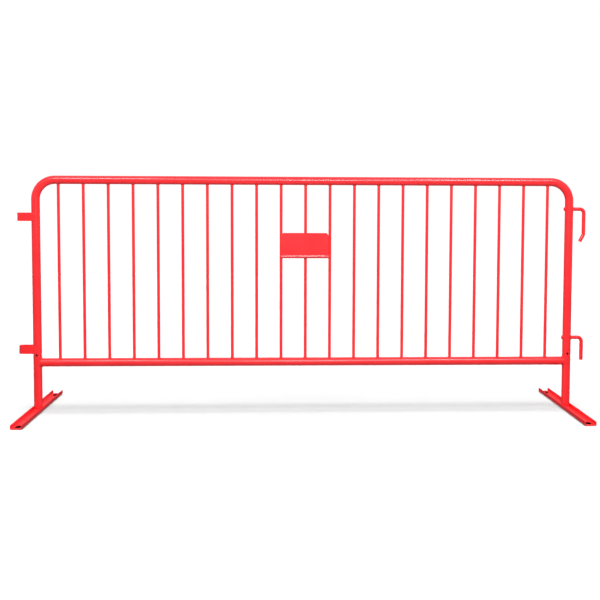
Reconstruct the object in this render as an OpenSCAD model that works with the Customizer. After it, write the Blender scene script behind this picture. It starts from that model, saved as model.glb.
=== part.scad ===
// Crowd control barrier: one bent tube frame, a bottom rail, round uprights,
// a sign plate, two hooks on one end, two strap loops on the other end and
// two flat channel feet that turn in the ends of the legs.
//
// Millimetres. X runs along the barrier, with the hooks at +X and the loops
// at -X. Y runs through it, with the sign plate on the -Y side. Z is up.
// The origin is on the floor, below the middle of the frame.

/* [Frame] */
// Height of the frame above the floor
frame_height = 1095; // [1050:5:1300]
// Distance between the centre lines of the two legs
leg_spacing = 2495; // [2440:5:2600]
// Outside diameter of the frame tube and of the foot stems
tube_d = 38.1; // [37:0.1:40]
// Wall of the frame tube
tube_wall = 1.52; // [1.2:0.01:1.8]
// Radius of the tube's centre line in the two top corners
corner_r = 90; // [60:5:95]
// Height of the bottom rail's centre line
rail_z = 226; // [226:1:235]

/* [Uprights] */
// Outside diameter of each upright
upright_d = 12.7; // [10:0.1:16]
// Wall of each upright
upright_wall = 1.2; // [1:0.1:2]
// Distance between the centre lines of neighbouring uprights
upright_pitch = 114.3; // [110:0.1:116]

/* [Sign plate] */
// Width of the plate
plate_w = 222; // [150:1:222]
// Height of the flat part of the plate
plate_h = 105; // [80:1:140]
// Height of the plate's top edge
plate_top_z = 833; // [700:1:950]
// Thickness of the sheet
plate_t = 2.5; // [1.5:0.1:3]
// Side of the cut-off top corners
plate_cut = 10; // [4:1:20]
// Length of the sloping part of the bent lip
lip_l = 6; // [4:0.5:12]
// Slope of the lip below the horizontal
lip_angle = 42; // [30:1:60]

/* [Hooks] */
// Diameter of the hook bar
hook_d = 16; // [12:0.5:16]
// Distance from the leg's centre line to the hanging part of the hook
hook_reach = 71; // [65:1:80]
// Radius of the bar's centre line in the hook's bend
hook_bend_r = 19; // [14:1:22]
// Height of the upper hook's bar
upper_hook_z = 949; // [900:1:955]
// Height of the lower hook's bar
lower_hook_z = 338; // [335:1:400]
// Length of the upper hook below its bar, to the kink
upper_hook_drop = 120; // [80:1:140]
// Length of the straight end of the upper hook, past the kink
upper_tip_l = 37; // [20:1:60]
// Angle of that end, turned in towards the leg
upper_tip_angle = 28; // [5:1:30]
// Length of the lower hook below its bar
lower_hook_drop = 107; // [60:1:110]

/* [Strap loops] */
// Height of the strap
strap_h = 38; // [25:1:50]
// Thickness of the strap
strap_t = 3.2; // [2:0.1:4]
// Width of the loop through the barrier
loop_w = 37; // [32:0.5:37]
// Distance from the leg's centre line to the outer end of the loop
loop_reach = 83; // [70:1:90]
// Height of the upper loop's middle
upper_loop_z = 905; // [860:1:920]
// Height of the lower loop's middle
lower_loop_z = 288; // [275:1:320]

/* [Feet] */
// Length of each foot
foot_l = 762; // [500:1:800]
// Width of the channel
foot_w = 50.8; // [50:0.1:60]
// Height of the channel's flanges
foot_h = 19; // [14:0.5:25]
// Thickness of the channel
foot_t = 4; // [3:0.1:5]
// Outside radius of the channel's two bends
foot_bend_r = 6; // [5.5:0.5:8]
// Width of the anchor slots
slot_w = 26; // [14:1:30]
// Length of the anchor slots
slot_l = 50; // [32:1:60]
// Distance from the channel's end to the middle of the slot
slot_inset = 40; // [35:1:60]
// Height of the top of the stem, where the leg rests on it
stem_top_z = 204; // [150:1:204]
// Length of the spigot inside the leg
spigot_up = 86; // [84:1:90]
// Length of the spigot inside the stem
spigot_down = 60; // [40:1:100]
// Play between the spigot and the bore of the leg, on the radius
spigot_play = 0.08; // [0.02:0.01:0.1]

/* [Snap buttons] */
// Height of the buttons and of the lock holes
button_z = 262; // [258:1:266]
// Diameter of the button
button_d = 8; // [6:0.5:9]
// Play between the button and its hole, on the radius
button_play = 0.5; // [0.3:0.1:0.8]
// Length of the button that stands out of the leg
button_proud = 1.5; // [1:0.5:3]
// Width of the leaf spring
spring_w = 10; // [8:0.5:11]
// Thickness of the leaf spring
spring_t = 0.9; // [0.6:0.1:1.2]

/* [Hidden] */
UPRIGHTS = 21;
SIDES = ["left", "right"];
FOOT_PIECES = ["foot_channel", "foot_stem", "foot_spigot", "leaf_spring", "snap_button"];

$fn = 96;
PAINT = [0.85, 0.05, 0.06];
ZINC = [0.55, 0.56, 0.58];
CUT = 1;                    // how far a cutting shape passes a face

tube_r = tube_d / 2;
bore_r = tube_r - tube_wall;
leg_x = leg_spacing / 2;
top_z = frame_height - tube_r;
upright_r = upright_d / 2;

hook_r = hook_d / 2;
hook_stub = 5;              // end of the hook bar, past the inner side of the leg
kink_lap = 2.5;             // how far each bar runs past the middle of the kink

spigot_r = bore_r - spigot_play;
spigot_wall = 1.6;
lock_hole_r = button_d / 2 + button_play;

rail_horn = 4;              // cut-off tips of the rail's saddle-shaped ends
lip_bend_r = 4;             // radius of the sheet's middle where the lip leaves the plate
fold_r = 2;                 // radius of the sheet's middle where the lip folds back
fold_l = 3;
fold_angle = 100;

spring_angle = 10.4;        // lean of each spring arm
spring_bend_r = 4;
spring_arm = 52;
spring_top_z = button_z + 8;
spring_shift = -1;          // the spring's middle, off the leg's centre line
rivet_r = 1.8;
rivet_play = 0.3;
rivet_head_r = 3;
rivet_head_t = 0.8;
dome_r = 8;

function upright_name(i) = str("upright_", i < 10 ? "0" : "", i);
function upright_at(i) = (i - (UPRIGHTS + 1) / 2) * upright_pitch;

// ---- bent sheet -----------------------------------------------------------
// A strip of sheet is described by steps of [straight length, turn, radius].

function heading(a) = [cos(a), sin(a)];
function left_of(a) = [-sin(a), cos(a)];

// Points of the line that runs beside the strip's middle, d to its left.
function beside(steps, d, p, a, i = 0) =
    i == len(steps) ? [] :
    let (turn = steps[i][1],
         bend = steps[i][2] * sign(turn),
         q = p + steps[i][0] * heading(a),
         c = q + bend * left_of(a),
         n = ceil(abs(turn) / 8))
    concat(
        i == 0 ? [p + d * left_of(a)] : [],
        turn == 0
            ? [q + d * left_of(a)]
            : [for (k = [0:n]) c - (bend - d) * left_of(a + turn * k / n)],
        beside(steps, d, c - bend * left_of(a + turn), a + turn, i + 1));

function reversed(list) = [for (k = [len(list) - 1:-1:0]) list[k]];

// Outline of a strip of thickness t that starts at p and heads along a.
module strip(steps, t, p, a) {
    polygon(concat(beside(steps, t / 2, p, a), reversed(beside(steps, -t / 2, p, a))));
}

// ---- round bars in the X-Z plane ------------------------------------------

module post(r, x, z0, z1) {
    translate([x, 0, z0]) cylinder(r = r, h = z1 - z0);
}

module bar_x(r, x0, x1, z) {
    translate([x0, 0, z]) rotate([0, 90, 0]) cylinder(r = r, h = x1 - x0);
}

// Part of a ring round (x, z), from angle a0 to a1, measured from +X up to +Z.
module bend(r, bend_r, x, z, a0, a1) {
    translate([x, 0, z]) rotate([90, 0, 0]) rotate([0, 0, a0])
        rotate_extrude(angle = a1 - a0) translate([bend_r, 0]) circle(r = r);
}

module both_ends() {
    children();
    mirror([1, 0, 0]) children();
}

// ---- frame ----------------------------------------------------------------

// Solid inverted U of radius r. Its legs start at foot_z.
module inverted_u(r, foot_z) {
    bar_x(r, -leg_x + corner_r, leg_x - corner_r, top_z);
    both_ends() {
        post(r, leg_x, foot_z, top_z - corner_r);
        bend(r, corner_r, leg_x - corner_r, top_z - corner_r, 0, 90);
    }
}

// Lock holes of the right leg: one towards the uprights, one towards the front.
module lock_holes() {
    bar_x(lock_hole_r, leg_x - tube_r - CUT, leg_x, button_z);
    translate([leg_x, 0, button_z]) rotate([90, 0, 0]) cylinder(r = lock_hole_r, h = tube_r + CUT);
}

module frame_tube() {
    color(PAINT) difference() {
        inverted_u(tube_r, stem_top_z);
        inverted_u(bore_r, stem_top_z - CUT);
        both_ends() lock_holes();
        for (z = [lower_hook_z, upper_hook_z])
            bar_x(hook_r, leg_x - tube_r - CUT, leg_x + tube_r + CUT, z);
    }
}

module bottom_rail() {
    color(PAINT) difference() {
        bar_x(tube_r, -leg_x + rail_horn, leg_x - rail_horn, rail_z);
        bar_x(bore_r, -leg_x, leg_x, rail_z);
        both_ends() post(tube_r, leg_x, stem_top_z, rail_z + tube_d);
    }
}

module upright(i) {
    color(PAINT) difference() {
        post(upright_r, upright_at(i), rail_z, top_z);
        post(upright_r - upright_wall, upright_at(i), rail_z - CUT, top_z + CUT);
        for (z = [rail_z, top_z])
            bar_x(tube_r, upright_at(i) - upright_d, upright_at(i) + upright_d, z);
    }
}

// Flat plate on the front of the uprights. Its left edge is on the middle of
// an upright, and its bottom edge is bent out and folded back.
module sign_plate() {
    lip_turn = 90 - lip_angle;
    steps = [[plate_h, lip_turn, lip_bend_r], [lip_l, -fold_angle, fold_r], [fold_l, 0, 0]];
    left_x = -upright_pitch;
    color(PAINT) difference() {
        translate([left_x + plate_w, 0, 0]) rotate([90, 0, -90])
            linear_extrude(plate_w)
                strip(steps, plate_t, [upright_r + plate_t / 2, plate_top_z], -90);
        for (x = [left_x, left_x + plate_w])
            translate([x, 0, plate_top_z]) rotate([0, 45, 0])
                cube([plate_cut * sqrt(2), upright_d * 3, plate_cut * sqrt(2)], center = true);
    }
}

// ---- hooks and loops ------------------------------------------------------

// Bar through the leg and over the bend, down to drop below the bar's height.
module hook_bar(z, drop) {
    x = leg_x + hook_reach;
    bar_x(hook_r, leg_x - tube_r - hook_stub, x - hook_bend_r, z);
    bend(hook_r, hook_bend_r, x - hook_bend_r, z - hook_bend_r, 0, 90);
    post(hook_r, x, z - drop, z - hook_bend_r);
}

// Hook whose straight end is kinked in towards the leg.
module upper_hook() {
    color(PAINT) {
        hook_bar(upper_hook_z, upper_hook_drop + kink_lap);
        translate([leg_x + hook_reach, 0, upper_hook_z - upper_hook_drop])
            rotate([0, upper_tip_angle, 0]) post(hook_r, 0, -upper_tip_l, kink_lap);
    }
}

module lower_hook() {
    color(PAINT) hook_bar(lower_hook_z, lower_hook_drop);
}

// Outline of a long hole or tongue with one round end, from the origin to
// reach along -X.
module tongue(w, reach) {
    translate([w / 2 - reach, 0]) circle(d = w);
    translate([w / 2 - reach, -w / 2]) square([reach - w / 2, w]);
}

module strap_loop(z) {
    color(PAINT) difference() {
        translate([-leg_x, 0, z - strap_h / 2]) linear_extrude(strap_h) difference() {
            tongue(loop_w, loop_reach);
            translate([CUT, 0]) tongue(loop_w - 2 * strap_t, loop_reach - strap_t + CUT);
        }
        post(tube_r, -leg_x, z - strap_h, z + strap_h);
    }
}

module upper_loop() { strap_loop(upper_loop_z); }

module lower_loop() { strap_loop(lower_loop_z); }

// ---- feet -----------------------------------------------------------------
// Each piece is drawn for the left leg. The right one is its mirror image.

module at_leg(side) {
    mirror([side == "right" ? 1 : 0, 0, 0]) translate([-leg_x, 0, 0]) children();
}

// Trough outline, open at the top, of width w, from z0 up to z1.
module trough(w, z0, z1, r) {
    translate([-w / 2, z0 + r]) square([w, z1 - z0 - r]);
    translate([-w / 2 + r, z0]) square([w - 2 * r, r]);
    for (x = [r - w / 2, w / 2 - r]) translate([x, z0 + r]) circle(r = r);
}

module anchor_slot() {
    half = (slot_l - slot_w) / 2;
    for (y = [-half, half]) translate([0, y, -CUT]) cylinder(d = slot_w, h = foot_t + 2 * CUT);
    translate([-slot_w / 2, -half, -CUT]) cube([slot_w, 2 * half, foot_t + 2 * CUT]);
}

module foot_channel(side) {
    color(PAINT) at_leg(side) difference() {
        rotate([90, 0, 0]) linear_extrude(foot_l, center = true) difference() {
            trough(foot_w, 0, foot_h, foot_bend_r);
            trough(foot_w - 2 * foot_t, foot_t, foot_h + CUT, foot_bend_r - foot_t);
        }
        for (y = [slot_inset - foot_l / 2, foot_l / 2 - slot_inset])
            translate([0, y, 0]) anchor_slot();
    }
}

module foot_stem(side) {
    color(PAINT) at_leg(side) difference() {
        post(tube_r, 0, foot_t, stem_top_z);
        post(spigot_r, 0, foot_t - CUT, stem_top_z + CUT);
    }
}

// Inner tube, fixed in the stem. It carries the leg and holds the snap button.
module foot_spigot(side) {
    color(ZINC) at_leg(side) difference() {
        post(spigot_r, 0, stem_top_z - spigot_down, stem_top_z + spigot_up);
        post(spigot_r - spigot_wall, 0, stem_top_z - spigot_down - CUT, stem_top_z + spigot_up + CUT);
        bar_x(lock_hole_r, 0, tube_r, button_z);
        translate([0, 0, button_z]) rotate([90, 0, 0]) cylinder(r = lock_hole_r, h = tube_r);
    }
}

// V-shaped leaf spring inside the spigot. One arm holds the button, and the
// other one leans on the wall.
module leaf_spring(side) {
    right_r = spring_bend_r * cos(spring_angle);
    rise = spring_arm * cos(spring_angle);
    start = [-right_r - spring_arm * sin(spring_angle), spring_top_z];
    steps = [[spring_arm, 180 - 2 * spring_angle, spring_bend_r], [spring_arm, 0, 0]];
    color(ZINC) at_leg(side) difference() {
        translate([spring_shift, spring_w / 2, 0]) rotate([90, 0, 0]) linear_extrude(spring_w)
            strip(steps, spring_t, start, spring_angle - 90);
        bar_x(rivet_r + rivet_play, 0, tube_r, button_z);
    }
}

// Distance from the leg's centre line to the outer face of the spring arm that
// holds the button, at height z.
function spring_face(z) =
    spring_shift + spring_bend_r * cos(spring_angle) + spring_t / 2 / cos(spring_angle)
    + spring_arm * sin(spring_angle) - (spring_top_z - z) * tan(spring_angle);

// Domed button, riveted through the spring arm. It stands out of the leg.
module snap_button(side) {
    r = button_d / 2;
    seat = spring_face(button_z + r);
    tip = tube_r + button_proud;
    head = spring_face(button_z - rivet_head_r) - spring_t / cos(spring_angle);
    dome_angle = asin(r / dome_r);
    dome = [for (k = [0:8]) let (a = dome_angle * (1 - k / 8))
        [dome_r * sin(a), tip - dome_r * (1 - cos(a))]];
    stem = [[0, head - rivet_head_t], [rivet_head_r, head - rivet_head_t], [rivet_head_r, head],
            [rivet_r, head], [rivet_r, seat], [r, seat]];
    color(ZINC) at_leg(side) translate([0, 0, button_z]) rotate([0, 90, 0])
        rotate_extrude() polygon(concat(stem, dome));
}

// ---- assembly -------------------------------------------------------------

frame_tube();
bottom_rail();
sign_plate();
upper_hook();
lower_hook();
upper_loop();
lower_loop();
for (i = [1:UPRIGHTS]) upright(i);
for (side = SIDES) {
    foot_channel(side);
    foot_stem(side);
    foot_spigot(side);
    leaf_spring(side);
    snap_button(side);
}
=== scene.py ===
"""Crowd control barrier: visible meshes, paint, plating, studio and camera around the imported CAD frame."""

import math
import random

import bmesh
import bpy
from mathutils import Matrix, Vector


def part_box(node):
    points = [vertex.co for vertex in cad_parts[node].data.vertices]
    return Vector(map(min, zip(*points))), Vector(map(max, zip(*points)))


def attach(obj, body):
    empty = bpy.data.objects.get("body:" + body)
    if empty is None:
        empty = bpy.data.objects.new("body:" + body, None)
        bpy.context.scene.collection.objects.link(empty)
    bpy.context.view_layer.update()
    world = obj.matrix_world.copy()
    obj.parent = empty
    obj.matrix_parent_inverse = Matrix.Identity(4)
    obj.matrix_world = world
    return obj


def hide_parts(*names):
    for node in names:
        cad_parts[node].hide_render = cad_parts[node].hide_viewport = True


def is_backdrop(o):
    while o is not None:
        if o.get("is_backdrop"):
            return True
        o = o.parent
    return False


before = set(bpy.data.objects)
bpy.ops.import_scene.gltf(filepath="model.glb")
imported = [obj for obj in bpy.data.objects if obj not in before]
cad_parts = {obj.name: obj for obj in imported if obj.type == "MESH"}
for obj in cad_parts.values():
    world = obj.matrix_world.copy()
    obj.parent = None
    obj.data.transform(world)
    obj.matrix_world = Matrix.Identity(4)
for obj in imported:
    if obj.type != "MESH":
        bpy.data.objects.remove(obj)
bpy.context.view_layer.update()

MM = 0.001
X_AXIS = Vector((1, 0, 0))
Y_AXIS = Vector((0, 1, 0))
Z_AXIS = Vector((0, 0, 1))

# ---- sizes of the barrier, in metres ----------------------------------------
TUBE_R = 19.05 * MM
BORE_R = 17.53 * MM
TUBE_CHAMFER = 0.8 * MM
CORNER_R = 90 * MM              # centre line of the two top corners
UPRIGHT_R = 6.35 * MM
BITE = 0.4 * MM                 # how far a bar's end reaches into the tube it is welded to
RAIL_END_MIN = 3 * MM           # nearest that the bottom rail comes to a leg's middle

LOCK_HOLE_R = 4.5 * MM
LOCK_HOLE_BAND = 12 * MM        # half the length of leg between the rings by the lock holes
LOCK_HOLE_REACH = (0.5, 1.3)    # from where to where the holes are cut, in tube radii

PLATE_T = 2.5 * MM
PLATE_CUT = 10 * MM             # legs of the cut-off corners
PLATE_EASE = 0.45 * MM
LIP_L = 6 * MM
LIP_SLOPE = 42                  # degrees below the horizontal
LIP_BEND_R = 4 * MM
FOLD_R = 2 * MM
FOLD_L = 6 * MM
FOLD_ANGLE = 100                # degrees

HOOK_BEND_R = 19 * MM
HOOK_CHAMFER = 0.9 * MM
UPPER_HOOK_DROP = 120 * MM      # from the bar's height to the middle of the kink
UPPER_TIP_L = 37 * MM
UPPER_TIP_ANGLE = math.radians(28)
KINK_R = 20 * MM

STRAP_T = 3.2 * MM
STRAP_EDGE_R = 0.9 * MM
STRAP_END = 5 * MM              # from the leg's middle to the strap's two ends, inside the leg

CHANNEL_T = 4 * MM
CHANNEL_BEND_R = 6 * MM         # outside of the channel's two bends
CHANNEL_EDGE_R = 1.0 * MM
CHANNEL_EASE = 0.6 * MM
SLOT_W = 26 * MM
SLOT_L = 50 * MM
SLOT_INSET = 40 * MM            # from the channel's end to the slot's middle
STEM_BITE = 0.3 * MM            # how far the stem reaches into the channel's web
JOINT_GAP = 0.1 * MM            # between the top of the stem and the leg

BUTTON_DOME_R = 8 * MM
BUTTON_EASE = 0.3 * MM          # on the shoulder behind the button
BUTTON_TIP_R = 0.05 * MM        # of the small flat at the dome's tip
RIVET_L = 3.0 * MM
RIVET_R = 1.8 * MM
RIVET_HEAD_R = 3 * MM
RIVET_HEAD_T = 0.8 * MM

CUT_PAST = 5 * MM               # how far a cutter stands out of what it cuts

# ---- welds ------------------------------------------------------------------
WELD_R = 2.0 * MM
RAIL_WELD_R = 1.5 * WELD_R
STEM_WELD_R = 1.4 * WELD_R
HOOK_WELD_R = 1.1 * WELD_R
STRAP_OUTER_WELD_R = 1.2 * WELD_R
STRAP_INNER_WELD_R = 1.0 * WELD_R
STRAP_WELD_MARGIN = 2 * MM      # from the end of a weld to the strap's edge
STEM_WELD_OUT = 0.4 * MM        # from the stem's corner to the middle of its weld, out and up
TACK_R = 1.7 * MM
TACK_OFF = 4.9 * MM             # from an upright's middle to a tack beside it
TACK_SINK = 0.2 * MM            # how far a tack's middle is behind the back of the plate
TACK_HALF_L = 9 * MM
TACK_BELOW_TOP = 24 * MM
TACK_ABOVE_BOTTOM = 34 * MM
RIPPLE = 2.4 * MM               # spacing of a weld's ripples
RIPPLE_DEPTH = 0.11             # share of the weld's radius
RIPPLE_UNEVEN = 0.05            # share of the weld's radius
WELD_TIP = 0.35                 # an open weld's radius at its ends, as a share
WELD_TAPER = 6                  # how fast it grows from there, in shares per length

# ---- numbers of facets and steps --------------------------------------------
TUBE_SIDES = 96
UPRIGHT_SIDES = 48
BAR_SIDES = 40
BUTTON_SIDES = 48
WELD_SIDES = 10
DOME_STEPS = 12
SLOT_END_STEPS = 20
BEND_STEP = 6                   # degrees
SMOOTH_ANGLE = math.radians(38)

# ---- look -------------------------------------------------------------------
PAINT_DEEP = (0.78, 0.038, 0.046)
PAINT_BRIGHT = (0.85, 0.049, 0.058)
PAINT_ROUGHNESS = (0.29, 0.35)
PLATING_ROUGHNESS = (-0.08, 0.10)   # either side of the metal's own
ZINC_DARK = (0.42, 0.43, 0.45)
ZINC_LIGHT = (0.66, 0.67, 0.69)
SPRING_DARK = (0.10, 0.10, 0.11)
SPRING_LIGHT = (0.24, 0.24, 0.25)
# Painted shade: colour of the dark sheets on the floor under the feet's long holes
SLOT_SHADE_COLOUR = (0.02, 0.004, 0.004)

# ---- studio -----------------------------------------------------------------
FLOOR_Z = -0.5 * MM
STUDIO_R = 9.0
STUDIO_TOP = 9.0
STUDIO_SIDES = 96
BACKDROP_GLOW = 1.02
FLOOR_GREY = 0.10
FLOOR_GLOW = 0.2
FLOOR_SUN = 25.3
SHADOW_SPREAD = math.radians(52)
SHADOW_TILT = math.radians(6)
# Sheets of painted shade under the feet's long holes: their top, their bottom and how far they reach past
# the holes
SLOT_SHADE_TOP = -0.1 * MM
SLOT_SHADE_BOTTOM = -0.4 * MM
SLOT_SHADE_MARGIN = 3 * MM

# Brightness of the room by height, from straight down (0) to straight up (1)
ROOM_IN_FRONT = [
    (0.0, 0.8), (0.25, 0.5), (0.42, 0.06), (0.48, 0.2), (0.52, 0.90), (0.62, 0.46), (1.0, 0.42),
]
ROOM_BEHIND = [
    (0.0, 0.8), (0.25, 0.5), (0.41, 0.06), (0.50, 0.18), (0.62, 0.38), (0.80, 0.85), (1.0, 1.15),
]
ROOM_AT_SIDES = [
    (0.0, 0.75), (0.25, 0.5), (0.42, 0.38), (0.50, 0.75), (0.62, 0.6), (1.0, 0.7),
]
SIDES_FROM_TO = (0.45, 0.80)    # how far aside a direction points where the sides begin and take over
VIEW_GAMMA = 0.75

# ---- camera -----------------------------------------------------------------
CAMERA_SPOT = Vector((-0.112, -4.470, 0.983))
CAMERA_YAW = 0.0445             # radians to the right
CAMERA_PITCH = 0.0610           # radians down
CAMERA_ROLL = 0.0039            # radians
CAMERA_LENS = 57.27             # millimetres, as is the sensor
CAMERA_SENSOR = 36
CAMERA_SHIFT = (-0.040, -0.0679)


# ---- places, from the frame -------------------------------------------------

def middle(node):
    """Middle of a CAD node's box."""
    lo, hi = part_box(node)
    return (lo + hi) / 2


def bar_radius(node):
    """Radius of a hook's bar: half its thickness through the barrier."""
    lo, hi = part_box(node)
    return (hi.y - lo.y) / 2


UPRIGHTS = sorted(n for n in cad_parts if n.startswith("upright_"))
LEG_X = middle("right_foot_channel").x
STEM_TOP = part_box("right_foot_stem")[1].z
TOP_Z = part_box("frame_tube")[1].z - TUBE_R
RAIL_Z = middle("bottom_rail").z
BUTTON_Z = middle("right_snap_button").z
HOOK_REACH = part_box("lower_hook")[1].x - bar_radius("lower_hook") - LEG_X


# ---- mesh tools -------------------------------------------------------------

class Shape:
    """Vertices and faces of one piece, put together from parts."""

    def __init__(self):
        self.verts = []
        self.faces = []

    def add(self, verts, faces):
        """Adds a part, whose faces count from its own first vertex."""
        start = len(self.verts)
        self.verts += [tuple(v) for v in verts]
        self.faces += [tuple(start + i for i in f) for f in faces]

    def loft(self, rings, closed=False, caps=True):
        """Skin over rings with equal numbers of points. closed joins the last ring to the first."""
        count = len(rings[0])
        verts = [p for ring in rings for p in ring]
        faces = []
        spans = len(rings) if closed else len(rings) - 1
        for k in range(spans):
            a, b = k * count, (k + 1) % len(rings) * count
            faces += [(a + i, a + (i + 1) % count, b + (i + 1) % count, b + i) for i in range(count)]
        if caps and not closed:
            faces.append(tuple(range(count))[::-1])
            faces.append(tuple(range(len(verts) - count, len(verts))))
        self.add(verts, faces)

    def mesh(self, name):
        """The shape as a Blender mesh."""
        mesh = bpy.data.meshes.new(name)
        mesh.from_pydata(self.verts, [], self.faces)
        mesh.validate()
        return mesh


def outward(mesh):
    """Turns all faces of closed shells outwards."""
    bm = bmesh.new()
    bm.from_mesh(mesh)
    bmesh.ops.recalc_face_normals(bm, faces=bm.faces)
    bm.to_mesh(mesh)
    bm.free()


def add_shells(obj, shape):
    """Adds a shape's closed shells to a finished mesh."""
    extra = shape.mesh("extra")
    bm = bmesh.new()
    bm.from_mesh(obj.data)
    bm.from_mesh(extra)
    bm.to_mesh(obj.data)
    bm.free()
    bpy.data.meshes.remove(extra)


def place(name, data):
    """New object in the scene with a mesh, light or camera in it."""
    obj = bpy.data.objects.new(name, data)
    bpy.context.scene.collection.objects.link(obj)
    return obj


def apply_modifiers(obj):
    """Turns an object's modifiers into plain mesh."""
    bpy.context.view_layer.update()
    evaluated = obj.evaluated_get(bpy.context.evaluated_depsgraph_get())
    mesh = bpy.data.meshes.new_from_object(evaluated)
    obj.modifiers.clear()
    old = obj.data
    obj.data = mesh
    bpy.data.meshes.remove(old)


def cut(obj, cutter):
    """Takes the cutter's closed shells away from obj."""
    outward(cutter)
    tool = place("cutter", cutter)
    modifier = obj.modifiers.new("cut", "BOOLEAN")
    modifier.operation = "DIFFERENCE"
    modifier.solver = "EXACT"
    modifier.use_self = True
    modifier.object = tool
    apply_modifiers(obj)
    bpy.data.objects.remove(tool)


def ease_edges(obj, width, angle=40, segments=2):
    """Rounds the edges that are sharper than angle, in degrees."""
    modifier = obj.modifiers.new("edges", "BEVEL")
    modifier.width = width
    modifier.segments = segments
    modifier.limit_method = "ANGLE"
    modifier.angle_limit = math.radians(angle)
    modifier.harden_normals = False
    apply_modifiers(obj)


def circle(centre, across, up, radius, sides):
    """Ring of points round centre in the plane of the unit vectors across and up."""
    turns = [2 * math.pi * i / sides for i in range(sides)]
    return [centre + radius * (math.cos(a) * across + math.sin(a) * up) for a in turns]


def arc(centre, radius, start, end, steps):
    """Points in the X-Z plane round centre, with angles in degrees from +X up to +Z."""
    angles = [math.radians(start + (end - start) * k / steps) for k in range(steps + 1)]
    return [centre + radius * Vector((math.cos(a), 0, math.sin(a))) for a in angles]


def upward(centre, half_length, steps):
    """Points up a vertical line whose middle is centre."""
    return [centre + half_length * (2 * s / steps - 1) * Z_AXIS for s in range(steps + 1)]


def ahead(angle):
    """Unit vector in 2D at an angle in degrees."""
    return Vector((math.cos(math.radians(angle)), math.sin(math.radians(angle))))


def left_of(angle):
    """Unit vector in 2D, a quarter turn to the left of an angle in degrees."""
    return Vector((-math.sin(math.radians(angle)), math.cos(math.radians(angle))))


def tangents(path, closed=False):
    """Unit vectors along a path, one for each of its points."""
    result = []
    for k in range(len(path)):
        if closed:
            before, after = path[k - 1], path[(k + 1) % len(path)]
        else:
            before, after = path[max(k - 1, 0)], path[min(k + 1, len(path) - 1)]
        result.append((after - before).normalized())
    return result


def bent_rings(path, radius, sides):
    """Rings along a path in the X-Z plane."""
    return [circle(p, t.cross(Y_AXIS), Y_AXIS, radius, sides) for p, t in zip(path, tangents(path))]


def eased_rings(path, radius, chamfer, sides):
    """Rings along a path in the X-Z plane, with a chamfer at both ends."""
    along = tangents(path)
    inner = [path[0] + chamfer * along[0]] + path[1:-1] + [path[-1] - chamfer * along[-1]]
    first = circle(path[0], along[0].cross(Y_AXIS), Y_AXIS, radius - chamfer, sides)
    last = circle(path[-1], along[-1].cross(Y_AXIS), Y_AXIS, radius - chamfer, sides)
    return [first] + bent_rings(inner, radius, sides) + [last]


def bent_bar(shape, path, radius, chamfer):
    """Solid round bar along a path in the X-Z plane, with eased ends."""
    shape.loft(eased_rings(path, radius, chamfer, BAR_SIDES))


def pipe(shape, path):
    """Length of the barrier's main tube along a path in the X-Z plane, with eased ends."""
    outside = eased_rings(path, TUBE_R, TUBE_CHAMFER, TUBE_SIDES)
    inside = bent_rings(path, BORE_R, TUBE_SIDES)
    shape.loft(outside + inside[::-1], closed=True)


def weld(shape, path, radius, rng, closed=True):
    """Bead of weld along a path, with ripples."""
    length = sum((path[k] - path[k - 1]).length for k in range(0 if closed else 1, len(path)))
    ripples = max(3, round(length / RIPPLE))
    # A direction that no weld runs along
    lean = Vector((0.3, 0.5, 0.8)).normalized()
    rings = []
    for k, (p, t) in enumerate(zip(path, tangents(path, closed))):
        done = k / (len(path) if closed else len(path) - 1)
        wave = RIPPLE_DEPTH * math.sin(2 * math.pi * ripples * done)
        size = radius * (1 + wave + rng.uniform(-RIPPLE_UNEVEN, RIPPLE_UNEVEN))
        if not closed:
            size *= min(1.0, WELD_TIP + WELD_TAPER * min(done, 1 - done))
        across = t.cross(lean).normalized()
        rings.append(circle(p, across, t.cross(across), size, WELD_SIDES))
    shape.loft(rings, closed=closed)


def saddle(centre, along, across, radius, big_radius, side, steps):
    """Curve where a round bar of that radius, which runs along a unit vector, meets a tube that
    runs along across. side is +1 or -1 along the bar."""
    third = along.cross(across)
    points = []
    for k in range(steps):
        a = 2 * math.pi * k / steps
        off = radius * math.sin(a)
        reach = math.sqrt(max(big_radius ** 2 - off ** 2, 0))
        points.append(centre + radius * math.cos(a) * across + off * third + side * reach * along)
    return points


# ---- materials --------------------------------------------------------------

def node_material(name):
    """New material, its node tree and its shader."""
    material = bpy.data.materials.new(name)
    material.use_nodes = True
    tree = material.node_tree
    return material, tree, tree.nodes["Principled BSDF"]


def object_place(tree):
    """Coordinates that stay on the surface, in metres."""
    return tree.nodes.new("ShaderNodeTexCoord").outputs["Object"]


def noise(tree, where, scale, detail):
    """Soft noise from 0 to 1."""
    node = tree.nodes.new("ShaderNodeTexNoise")
    node.inputs["Scale"].default_value = scale
    node.inputs["Detail"].default_value = detail
    tree.links.new(where, node.inputs["Vector"])
    return node.outputs["Fac"]


def cells(tree, where, scale):
    """Pattern of cells, from 0 in the middle of each."""
    node = tree.nodes.new("ShaderNodeTexVoronoi")
    node.inputs["Scale"].default_value = scale
    tree.links.new(where, node.inputs["Vector"])
    return node.outputs["Distance"]


def ramp(tree, value, low, high, start, end):
    """Colour that goes from start to end as value goes from low to high."""
    node = tree.nodes.new("ShaderNodeValToRGB")
    node.color_ramp.elements[0].position = low
    node.color_ramp.elements[0].color = (*start, 1)
    node.color_ramp.elements[1].position = high
    node.color_ramp.elements[1].color = (*end, 1)
    tree.links.new(value, node.inputs["Fac"])
    return node.outputs["Color"]


def remap(tree, value, start=(0, 1), end=(0, 1)):
    """value, moved from the range start to the range end."""
    node = tree.nodes.new("ShaderNodeMapRange")
    node.inputs["From Min"].default_value = start[0]
    node.inputs["From Max"].default_value = start[1]
    node.inputs["To Min"].default_value = end[0]
    node.inputs["To Max"].default_value = end[1]
    tree.links.new(value, node.inputs["Value"])
    return node.outputs["Result"]


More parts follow.
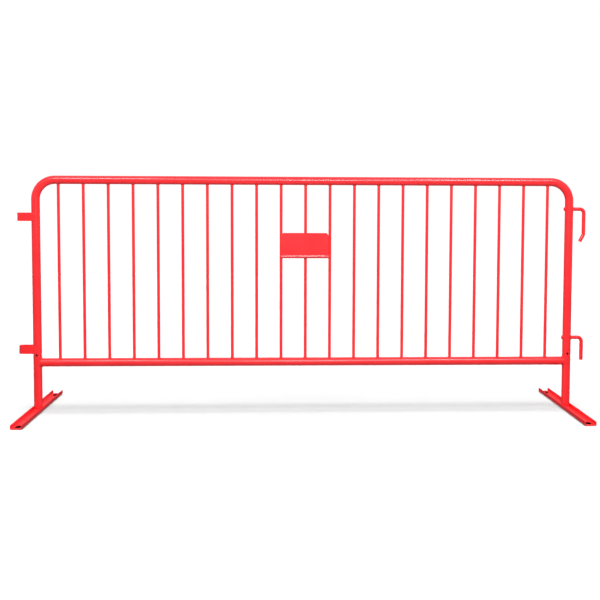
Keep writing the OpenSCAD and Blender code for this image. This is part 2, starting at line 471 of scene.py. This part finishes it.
def bump(tree, height, distance, strength, below=None):
    """Normal from a height, over the bump below it if there is one."""
    node = tree.nodes.new("ShaderNodeBump")
    node.inputs["Distance"].default_value = distance
    node.inputs["Strength"].default_value = strength
    tree.links.new(height, node.inputs["Height"])
    if below is not None:
        tree.links.new(below, node.inputs["Normal"])
    return node.outputs["Normal"]


def powder_coat():
    """Glossy red powder coat: a fine orange peel over a slower waviness, and slight changes of tone."""
    material, tree, shader = node_material("red_powder_coat")
    where = object_place(tree)
    clouds = noise(tree, where, scale=9, detail=3)
    tone = ramp(tree, clouds, low=0.3, high=0.7, start=PAINT_DEEP, end=PAINT_BRIGHT)
    gloss = remap(tree, noise(tree, where, scale=28, detail=4), end=PAINT_ROUGHNESS)
    waves = bump(tree, noise(tree, where, scale=130, detail=2), distance=0.08 * MM, strength=0.05)
    peel_height = noise(tree, where, scale=620, detail=2)
    peel = bump(tree, peel_height, distance=0.03 * MM, strength=0.2, below=waves)
    tree.links.new(tone, shader.inputs["Base Color"])
    tree.links.new(gloss, shader.inputs["Roughness"])
    tree.links.new(peel, shader.inputs["Normal"])
    shader.inputs["IOR"].default_value = 1.55
    shader.inputs["Coat Weight"].default_value = 0.2
    shader.inputs["Coat Roughness"].default_value = 0.26
    return material


def plated(name, dark, light, rough):
    """Metal with a faint crystal pattern and drawing lines along Z."""
    material, tree, shader = node_material(name)
    where = object_place(tree)
    stretch = tree.nodes.new("ShaderNodeMapping")
    stretch.inputs["Scale"].default_value = (1, 1, 0.05)
    tree.links.new(where, stretch.inputs["Vector"])
    lines = noise(tree, stretch.outputs["Vector"], scale=900, detail=3)
    crystals = cells(tree, where, scale=260)
    tone = ramp(tree, crystals, low=0.0, high=0.9, start=light, end=dark)
    gloss = remap(tree, lines, end=[rough + change for change in PLATING_ROUGHNESS])
    tree.links.new(tone, shader.inputs["Base Color"])
    tree.links.new(gloss, shader.inputs["Roughness"])
    tree.links.new(bump(tree, lines, distance=0.02 * MM, strength=0.5), shader.inputs["Normal"])
    shader.inputs["Metallic"].default_value = 1.0
    return material


def matte(name, colour, glow=0.0):
    """Dull, even surface of the stage, which may glow white."""
    material, _, shader = node_material(name)
    shader.inputs["Base Color"].default_value = (*colour, 1)
    shader.inputs["Roughness"].default_value = 1.0
    shader.inputs["Specular IOR Level"].default_value = 0.0
    shader.inputs["Emission Color"].default_value = (1, 1, 1, 1)
    shader.inputs["Emission Strength"].default_value = glow
    return material


RED = powder_coat()
ZINC = plated("zinc_plate", ZINC_DARK, ZINC_LIGHT, rough=0.32)
SPRING = plated("spring_steel", SPRING_DARK, SPRING_LIGHT, rough=0.38)


def shade(obj):
    """Smooth shading with sharp corners."""
    obj.data.shade_smooth()
    obj.data.set_sharp_from_angle(angle=SMOOTH_ANGLE)


def finish_piece(obj, material, slot, body, *nodes):
    """Shades a piece, gives it its finish and puts it in its CAD nodes' place."""
    outward(obj.data)
    shade(obj)
    even = obj.modifiers.new("even_normals", "WEIGHTED_NORMAL")
    even.keep_sharp = True
    apply_modifiers(obj)
    obj.data.materials.clear()
    obj.data.materials.append(material)
    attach(obj, body)
    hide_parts(*nodes)


def painted(shape, body, node):
    """Red piece made of a shape, in its CAD node's place."""
    name = node + "_painted"
    paint(place(name, shape.mesh(name)), body, node)


def paint(obj, body, node):
    """Red finish for a piece that stands for a CAD node."""
    finish_piece(obj, RED, "red_powder_coat", body, node)


# ---- frame ------------------------------------------------------------------

def lock_hole_cutter():
    """Four short rods that open the lock holes of both legs."""
    shape = Shape()
    for side in (-1, 1):
        leg = Vector((side * LEG_X, 0, BUTTON_Z))
        for way in (-Y_AXIS, -side * X_AXIS):
            ends = [leg + reach * TUBE_R * way for reach in LOCK_HOLE_REACH]
            across = Z_AXIS.cross(way)
            shape.loft([circle(p, across, Z_AXIS, LOCK_HOLE_R, sides=40) for p in ends])
    return shape.mesh("lock_holes")


def frame_tube():
    """The inverted U, with its lock holes."""
    levels = [STEM_TOP, BUTTON_Z - LOCK_HOLE_BAND, BUTTON_Z + LOCK_HOLE_BAND, TOP_Z - CORNER_R]
    left_centre = Vector((CORNER_R - LEG_X, 0, TOP_Z - CORNER_R))
    right_centre = Vector((LEG_X - CORNER_R, 0, TOP_Z - CORNER_R))
    path = [Vector((-LEG_X, 0, z)) for z in levels[:-1]]
    path += arc(left_centre, CORNER_R, 180, 90, steps=40)
    path += arc(right_centre, CORNER_R, 90, 0, steps=40)
    path += [Vector((LEG_X, 0, z)) for z in levels[-2::-1]]
    shape = Shape()
    pipe(shape, path)
    obj = place("frame_tube_painted", shape.mesh("frame_tube_painted"))
    outward(obj.data)
    cut(obj, lock_hole_cutter())
    paint(obj, "frame", "frame_tube")


def rail_end(side):
    """Ring at an end of the bottom rail, shaped to lie just inside the leg's wall."""
    ring = []
    for p in circle(Vector((0, 0, RAIL_Z)), Y_AXIS, Z_AXIS, TUBE_R, TUBE_SIDES):
        wall = math.sqrt(max(TUBE_R ** 2 - p.y ** 2, 0))
        reach = LEG_X - max(wall - BITE, RAIL_END_MIN)
        ring.append(Vector((side * reach, p.y, p.z)))
    return ring


def bottom_rail():
    """The rail and its welds on the legs."""
    rng = random.Random(5)
    shape = Shape()
    shape.loft([rail_end(-1), rail_end(1)])
    # A touch larger than the leg, which rounds the corners where two equal tubes meet
    leg_r = TUBE_R * 1.003
    for side in (-1, 1):
        joint = Vector((side * LEG_X, 0, RAIL_Z))
        path = saddle(joint, X_AXIS, Z_AXIS, TUBE_R, leg_r, -side, steps=220)
        weld(shape, path, RAIL_WELD_R, rng)
    painted(shape, "frame", "bottom_rail")


def upright(node, seed):
    """Round upright with a weld at each rail."""
    rng = random.Random(seed)
    x = middle(node).x
    shape = Shape()
    rings = []
    for z, side in ((RAIL_Z, 1), (TOP_Z, -1)):
        ring = circle(Vector((x, 0, z)), X_AXIS, Y_AXIS, UPRIGHT_R, UPRIGHT_SIDES)
        for p in ring:
            p.z += side * (math.sqrt(TUBE_R ** 2 - p.y ** 2) - BITE)
        rings.append(ring)
    shape.loft(rings)
    for z, side in ((RAIL_Z, 1), (TOP_Z, -1)):
        path = saddle(Vector((x, 0, z)), Z_AXIS, X_AXIS, UPRIGHT_R, TUBE_R, side, steps=96)
        weld(shape, path, WELD_R, rng)
    painted(shape, "frame", node)


# ---- sign plate -------------------------------------------------------------

def strip_outline(steps, thickness, start, heading):
    """Outline of a bent strip of sheet, from steps of (straight length, turn in degrees, radius)."""
    sides = {1: [], -1: []}
    point, angle = Vector(start), heading
    for side in sides:
        sides[side].append(point + side * thickness / 2 * left_of(angle))
    for length, turn, radius in steps:
        point = point + length * ahead(angle)
        bend = radius * (1 if turn > 0 else -1)
        centre = point + bend * left_of(angle)
        count = max(1, math.ceil(abs(turn) / BEND_STEP))
        for side in sides:
            reach = bend - side * thickness / 2
            if turn == 0:
                sides[side].append(point + side * thickness / 2 * left_of(angle))
                continue
            angles = [angle + turn * k / count for k in range(count + 1)]
            sides[side] += [centre - reach * left_of(a) for a in angles]
        if turn:
            point = centre - bend * left_of(angle + turn)
            angle += turn
    return sides[1] + sides[-1][::-1]


def plate_outline(bottom, top):
    """Outline of the bent sheet. Its flat is as long as takes the fold just down to the bottom."""
    def bent(flat):
        steps = [(flat, 90 - LIP_SLOPE, LIP_BEND_R), (LIP_L, -FOLD_ANGLE, FOLD_R), (FOLD_L, 0, 0)]
        return strip_outline(steps, PLATE_T, (UPRIGHT_R + PLATE_T / 2, top), heading=-90)

    height = top - bottom
    excess = bottom - min(p.y for p in bent(height))
    return bent(height - excess)


def plate_corner_cutter(lo, hi):
    """Square rods on edge that cut off the plate's two top corners."""
    shape = Shape()
    for x in (lo.x, hi.x):
        ends = [Vector((x, y, hi.z)) for y in (lo.y - CUT_PAST, hi.y + CUT_PAST)]
        shape.loft([circle(p, X_AXIS, Z_AXIS, PLATE_CUT, sides=4) for p in ends])
    return shape.mesh("plate_corners")


def plate_tacks(lo, hi):
    """Short welds behind the plate, on the sides of its three uprights that it covers."""
    rng = random.Random(31)
    shape = Shape()
    for x, sides in ((lo.x, (1,)), (0, (-1, 1)), (hi.x, (-1,))):
        for z in (hi.z - TACK_BELOW_TOP, lo.z + TACK_ABOVE_BOTTOM):
            for side in sides:
                spot = Vector((x + side * TACK_OFF, TACK_SINK - UPRIGHT_R, z))
                weld(shape, upward(spot, TACK_HALF_L, steps=24), TACK_R, rng, closed=False)
    return shape


def sign_plate():
    """Flat plate with its lip bent out and folded back, and its tacks on the uprights."""
    lo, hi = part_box("sign_plate")
    outline = plate_outline(lo.z, hi.z)
    shape = Shape()
    shape.loft([[Vector((x, -p.x, p.y)) for p in outline] for x in (lo.x, hi.x)])
    obj = place("sign_plate_painted", shape.mesh("sign_plate_painted"))
    outward(obj.data)
    cut(obj, plate_corner_cutter(lo, hi))
    ease_edges(obj, PLATE_EASE)
    add_shells(obj, plate_tacks(lo, hi))
    paint(obj, "frame", "sign_plate")


# ---- hooks and loops --------------------------------------------------------

def upper_tip(x, z):
    """Points of the upper hook's kink and tip, below a bar at height z that comes down at x."""
    ease = KINK_R * math.tan(UPPER_TIP_ANGLE / 2)
    centre = Vector((x - KINK_R, 0, z - UPPER_HOOK_DROP + ease))
    path = arc(centre, KINK_R, 0, -math.degrees(UPPER_TIP_ANGLE), steps=10)
    away = Vector((-math.sin(UPPER_TIP_ANGLE), 0, -math.cos(UPPER_TIP_ANGLE)))
    path.append(path[-1] + (UPPER_TIP_L - ease) * away)
    return path


def hook(node, kinked, seed):
    """Round bar through the right leg, bent down outside it, with a weld on each side of the leg."""
    lo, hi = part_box(node)
    radius = bar_radius(node)
    x = LEG_X + HOOK_REACH
    z = hi.z - radius
    path = [Vector((lo.x, 0, z)), Vector((LEG_X, 0, z))]
    path += arc(Vector((x - HOOK_BEND_R, 0, z - HOOK_BEND_R)), HOOK_BEND_R, 90, 0, steps=24)
    if kinked:
        path += upper_tip(x, z)
    else:
        path.append(Vector((x, 0, lo.z)))
    shape = Shape()
    bent_bar(shape, path, radius, HOOK_CHAMFER)
    rng = random.Random(seed)
    for side in (-1, 1):
        joint = saddle(Vector((LEG_X, 0, z)), X_AXIS, Z_AXIS, radius, TUBE_R, side, steps=120)
        weld(shape, joint, HOOK_WELD_R, rng)
    painted(shape, "frame", node)


def rolled_edge(height, thickness, radius, steps=4):
    """Outline of a flat bar with rounded edges, as (across, up) pairs."""
    points = []
    for across, up, start in ((1, 1, 0), (-1, 1, 90), (-1, -1, 180), (1, -1, 270)):
        centre = Vector((across * (thickness / 2 - radius), up * (height / 2 - radius)))
        points += [centre + radius * ahead(start + 90 * k / steps) for k in range(steps + 1)]
    return points


def strap_path(bend_x, half, z, steps=28):
    """Middle line of a strap: out from the leg, round a half circle and back."""
    path = [Vector((-LEG_X - STRAP_END, half, z))]
    for k in range(steps + 1):
        a = math.pi / 2 + math.pi * k / steps
        path.append(Vector((bend_x + half * math.cos(a), half * math.sin(a), z)))
    path.append(Vector((-LEG_X - STRAP_END, -half, z)))
    return path


def strap_welds(shape, half, z, reach, rng):
    """Upright welds on both faces of a strap's two ends, where they meet the leg."""
    outer = (half + STRAP_T / 2, STRAP_OUTER_WELD_R)
    inner = (half - STRAP_T / 2, STRAP_INNER_WELD_R)
    for side in (-1, 1):
        for face, radius in (outer, inner):
            x = -LEG_X - math.sqrt(TUBE_R ** 2 - face ** 2)
            path = upward(Vector((x, side * face, z)), reach, steps=60)
            weld(shape, path, radius, rng, closed=False)


def strap_loop(node, seed):
    """Flat strap bent to a long eye and welded to the left leg."""
    lo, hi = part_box(node)
    z = (lo.z + hi.z) / 2
    half = (hi.y - lo.y) / 2 - STRAP_T / 2
    path = strap_path(lo.x + STRAP_T / 2 + half, half, z)
    section = rolled_edge(hi.z - lo.z, STRAP_T, STRAP_EDGE_R)
    rings = []
    for p, t in zip(path, tangents(path)):
        across = t.cross(Z_AXIS)
        rings.append([p + s.x * across + s.y * Z_AXIS for s in section])
    shape = Shape()
    shape.loft(rings)
    strap_welds(shape, half, z, (hi.z - lo.z) / 2 - STRAP_WELD_MARGIN, random.Random(seed))
    painted(shape, "frame", node)


# ---- feet -------------------------------------------------------------------

def channel_outline(width, height):
    """Outline of the channel's section: a trough with its opening up."""
    t, outer, edge = CHANNEL_T, CHANNEL_BEND_R, CHANNEL_EDGE_R
    inner = outer - t
    half = width / 2
    points = []

    def turn(centre, radius, start, end, steps=8):
        angles = [start + (end - start) * k / steps for k in range(steps + 1)]
        points.extend(Vector(centre) + radius * ahead(a) for a in angles)

    turn((half - outer, outer), outer, 270, 360)
    turn((half - edge, height - edge), edge, 0, 90, steps=4)
    turn((half - t + edge, height - edge), edge, 90, 180, steps=4)
    turn((half - outer, outer), inner, 360, 270)
    turn((outer - half, outer), inner, 270, 180)
    turn((t - edge - half, height - edge), edge, 0, 90, steps=4)
    turn((edge - half, height - edge), edge, 90, 180, steps=4)
    turn((outer - half, outer), outer, 180, 270)
    return points


def slot_rods(side, low, high, grow=0.0):
    """Upright rods with the outline of a foot's two long holes, widened by grow."""
    lo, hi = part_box(side + "_foot_channel")
    x = (lo.x + hi.x) / 2
    half = (SLOT_L - SLOT_W) / 2
    shape = Shape()
    for y in (lo.y + SLOT_INSET, hi.y - SLOT_INSET):
        outline = []
        for way, start in ((1, 0), (-1, 180)):
            centre = Vector((x, y + way * half))
            angles = [start + 180 * k / SLOT_END_STEPS for k in range(SLOT_END_STEPS + 1)]
            outline += [centre + (SLOT_W / 2 + grow) * ahead(a) for a in angles]
        shape.loft([[Vector((p.x, p.y, z)) for p in outline] for z in (low, high)])
    return shape


def foot_channel(side):
    """The channel that stands on the floor, with its two long holes."""
    node = side + "_foot_channel"
    lo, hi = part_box(node)
    x = (lo.x + hi.x) / 2
    outline = channel_outline(hi.x - lo.x, hi.z - lo.z)
    shape = Shape()
    shape.loft([[Vector((x + p.x, y, lo.z + p.y)) for p in outline] for y in (lo.y, hi.y)])
    obj = place(node + "_painted", shape.mesh(node + "_painted"))
    outward(obj.data)
    cut(obj, slot_rods(side, -CUT_PAST, CHANNEL_T + CUT_PAST).mesh("slots"))
    ease_edges(obj, CHANNEL_EASE)
    paint(obj, side + "_foot", node)


def foot_stem(side, seed):
    """Tube on the channel's web, with the weld round its foot."""
    node = side + "_foot_stem"
    lo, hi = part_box(node)
    x = (lo.x + hi.x) / 2
    levels = [lo.z - STEM_BITE, (lo.z + hi.z) / 2, hi.z - JOINT_GAP]
    shape = Shape()
    pipe(shape, [Vector((x, 0, z)) for z in levels])
    corner = Vector((x, 0, lo.z + STEM_WELD_OUT))
    path = circle(corner, X_AXIS, Y_AXIS, TUBE_R + STEM_WELD_OUT, sides=200)
    weld(shape, path, STEM_WELD_R, random.Random(seed))
    painted(shape, side + "_foot", node)


def button_profile(radius, length):
    """Dome, barrel, shoulder and rivet of a snap button, as pairs of radius and depth from the tip."""
    profile = []
    for k in range(DOME_STEPS + 1):
        a = math.asin(radius / BUTTON_DOME_R) * k / DOME_STEPS
        profile.append((BUTTON_DOME_R * math.sin(a), BUTTON_DOME_R * (1 - math.cos(a))))
    shoulder = length - RIVET_L
    head = length - RIVET_HEAD_T
    profile += [(radius, shoulder - BUTTON_EASE), (radius - BUTTON_EASE, shoulder)]
    profile += [(RIVET_R, shoulder), (RIVET_R, head)]
    profile += [(RIVET_HEAD_R, head), (RIVET_HEAD_R, length)]
    return profile


def snap_button(side):
    """Domed button with its rivet, turned about the X axis, its tip towards the barrier's middle."""
    node = side + "_snap_button"
    lo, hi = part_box(node)
    way = 1 if side == "left" else -1
    tip = hi.x if way > 0 else lo.x
    rings = []
    for radius, depth in button_profile((hi.z - lo.z) / 2, hi.x - lo.x):
        centre = Vector((tip - way * depth, 0, BUTTON_Z))
        rings.append(circle(centre, Y_AXIS, Z_AXIS, max(radius, BUTTON_TIP_R), BUTTON_SIDES))
    shape = Shape()
    shape.loft(rings)
    obj = place(node + "_zinc", shape.mesh(node + "_zinc"))
    finish_piece(obj, ZINC, "spring_steel", side + "_button", node)


def inner_pieces(side):
    """The spigot and the leaf spring stay as the CAD has them, with their own finish."""
    for node, material in ((side + "_foot_spigot", ZINC), (side + "_leaf_spring", SPRING)):
        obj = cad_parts[node]
        obj.data.materials.clear()
        obj.data.materials.append(material)


# ---- stage ------------------------------------------------------------------

def stage_piece(name, profile, grey, glow):
    """Turned stage surface that only the camera sees: it neither lights nor shades the barrier."""
    shape = Shape()
    rings = [circle(Vector((0, 0, z)), X_AXIS, Y_AXIS, r, STUDIO_SIDES) for r, z in profile]
    shape.loft(rings, caps=False)
    obj = place(name, shape.mesh(name))
    shade(obj)
    obj.data.materials.append(matte(name, (grey, grey, grey), glow))
    obj.visible_diffuse = False
    obj.visible_glossy = False
    obj.visible_transmission = False
    obj.visible_shadow = False
    obj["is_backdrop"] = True
    return obj


def painted_slot_shade(side):
    """Painted shade: a dark sheet on the floor under a foot's two long holes, which shows only through them.
    """
    name = side + "_painted_slot_shade"
    shape = slot_rods(side, SLOT_SHADE_BOTTOM, SLOT_SHADE_TOP, SLOT_SHADE_MARGIN)
    obj = place(name, shape.mesh(name))
    obj.data.materials.append(matte(name, SLOT_SHADE_COLOUR))
    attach(obj, side + "_foot")
    obj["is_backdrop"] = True


def studio():
    """Pale floor with a light of its own, and white walls and ceiling round it."""
    floor = stage_piece("floor", [(0, FLOOR_Z), (STUDIO_R, FLOOR_Z)], FLOOR_GREY, FLOOR_GLOW)
    walls = [(STUDIO_R, FLOOR_Z), (STUDIO_R, STUDIO_TOP), (0, STUDIO_TOP)]
    stage_piece("walls", walls, 0, BACKDROP_GLOW)
    sun = bpy.data.lights.new("floor_light", "SUN")
    sun.energy = FLOOR_SUN
    sun.angle = SHADOW_SPREAD
    lamp = place("floor_light", sun)
    lamp.rotation_euler = (SHADOW_TILT, 0, 0)
    lamp.light_linking.receiver_collection = light_group("only_floor", [floor])


# ---- light ------------------------------------------------------------------

def room_ramp(tree, height, stops):
    """Grey of the room by height, as (height, brightness) stops."""
    node = tree.nodes.new("ShaderNodeValToRGB")
    for k, (position, value) in enumerate(stops):
        element = node.color_ramp.elements[k] if k < 2 else node.color_ramp.elements.new(position)
        element.position = position
        element.color = (value, value, value, 1)
    tree.links.new(height, node.inputs["Fac"])
    return node.outputs["Color"]


def mixed(tree, factor, first, second):
    """Colour mixed from two by a factor."""
    node = tree.nodes.new("ShaderNodeMix")
    node.data_type = "RGBA"
    tree.links.new(factor, node.inputs["Factor"])
    tree.links.new(first, node.inputs["A"])
    tree.links.new(second, node.inputs["B"])
    return node.outputs["Result"]


def room():
    """Soft light from all round, with its own bands of brightness in front, behind and at the sides."""
    world = bpy.data.worlds.new("room")
    world.use_nodes = True
    tree = world.node_tree
    where = tree.nodes.new("ShaderNodeTexCoord")
    parts = tree.nodes.new("ShaderNodeSeparateXYZ")
    tree.links.new(where.outputs["Generated"], parts.inputs["Vector"])
    height = remap(tree, parts.outputs["Z"], start=(-1, 1))
    front = room_ramp(tree, height, ROOM_IN_FRONT)
    behind = room_ramp(tree, height, ROOM_BEHIND)
    sides = room_ramp(tree, height, ROOM_AT_SIDES)
    aside = tree.nodes.new("ShaderNodeMath")
    aside.operation = "ABSOLUTE"
    tree.links.new(parts.outputs["X"], aside.inputs[0])
    through = mixed(tree, remap(tree, parts.outputs["Y"], start=(-1, 1)), front, behind)
    around = mixed(tree, remap(tree, aside.outputs[0], start=SIDES_FROM_TO), through, sides)
    tree.links.new(around, tree.nodes["Background"].inputs["Color"])
    bpy.context.scene.world = world


def light_group(name, pieces):
    """Collection of pieces for a light to light."""
    group = bpy.data.collections.new(name)
    for obj in pieces:
        group.objects.link(obj)
    return group


def softbox(name, pieces, power, spot, target, size, mirrored=True):
    """Rectangular light at spot that faces target and lights only a group of pieces.
    mirrored says whether they show its reflection."""
    light = bpy.data.lights.new(name, "AREA")
    light.shape = "RECTANGLE"
    light.size, light.size_y = size
    light.energy = power
    obj = place(name, light)
    obj.location = spot
    obj.rotation_euler = (Vector(target) - Vector(spot)).to_track_quat("-Z", "Y").to_euler()
    obj.visible_camera = False
    obj.visible_glossy = mirrored
    obj.light_linking.receiver_collection = pieces


def highlights(pieces):
    """Lights that show as highlights along the tubes."""
    left, right = (-1.57, -2.3, 3.15), (1.40, -2.3, 3.15)
    softbox("left_ceiling_light", pieces, 54, spot=left, target=(-1, 0, 1), size=(0.6, 0.4))
    softbox("right_ceiling_light", pieces, 66, spot=right, target=(0.9, 0, 1), size=(0.75, 0.4))
    softbox("lamp_by_camera", pieces, 100, spot=(0.16, -4.4, 2.6), target=(0, 0, 1), size=(0.35, 0.3))


def fill(name, pieces, power, spot, target, size):
    """Softbox with no reflection."""
    softbox(name, pieces, power, spot, target, size, mirrored=False)


def lights():
    """Lights for the whole barrier, and two that treat its sign plate apart."""
    barrier = [o for o in bpy.context.scene.objects if o.type == "MESH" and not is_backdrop(o)]
    plate = bpy.data.objects["sign_plate_painted"]
    whole = light_group("whole_barrier", barrier)
    only_plate = light_group("only_plate", [plate])
    all_but_plate = light_group("all_but_plate", [o for o in barrier if o is not plate])
    highlights(whole)
    fill("near_fill", whole, 0.4, spot=(0.2, -1.6, 1.4), target=(0, 0, 0.8), size=(1.4, 0.8))
    fill("back_fill", whole, 85, spot=(0, 3.2, 2.4), target=(0, 0, 0.5), size=(3.0, 1.2))
    fill("left_fill", whole, 15, spot=(-3.4, 0.9, 1.6), target=(-1.25, 0, 0.5), size=(0.8, 1.2))
    fill("right_fill", whole, 15, spot=(3.4, 0.9, 1.6), target=(1.25, 0, 0.5), size=(0.8, 1.2))
    softbox("floor_bounce", all_but_plate, 0.8, spot=(0, -0.9, -0.1), target=(0, 0, 0.4), size=(1.8, 0.6))
    softbox("light_over_plate", only_plate, 100, spot=(0, 0.1, 3.0), target=(0, 0, 0.7), size=(1.2, 0.9))


def camera():
    """In front of the barrier, a little left of its middle, at about its height."""
    data = bpy.data.cameras.new("camera")
    data.sensor_width = CAMERA_SENSOR
    data.lens = CAMERA_LENS
    data.shift_x, data.shift_y = CAMERA_SHIFT
    obj = place("camera", data)
    turned = Matrix.Rotation(-CAMERA_YAW, 4, "Z") @ Matrix.Rotation(math.pi / 2 - CAMERA_PITCH, 4, "X")
    obj.matrix_world = Matrix.Translation(CAMERA_SPOT) @ turned @ Matrix.Rotation(CAMERA_ROLL, 4, "Z")
    bpy.context.scene.camera = obj


# ---- the scene --------------------------------------------------------------

frame_tube()
bottom_rail()
for index, name in enumerate(UPRIGHTS):
    upright(name, seed=100 + index)
sign_plate()
hook("upper_hook", kinked=True, seed=11)
hook("lower_hook", kinked=False, seed=12)
strap_loop("upper_loop", seed=21)
strap_loop("lower_loop", seed=22)
for index, name in enumerate(("left", "right")):
    foot_channel(name)
    foot_stem(name, seed=41 + index)
    snap_button(name)
    inner_pieces(name)

# Painted shade on the floor under the feet's long holes
painted_slot_shade("left")
painted_slot_shade("right")
studio()
room()
lights()
camera()
bpy.context.scene.view_settings.view_transform = "Standard"
bpy.context.scene.view_settings.gamma = VIEW_GAMMA
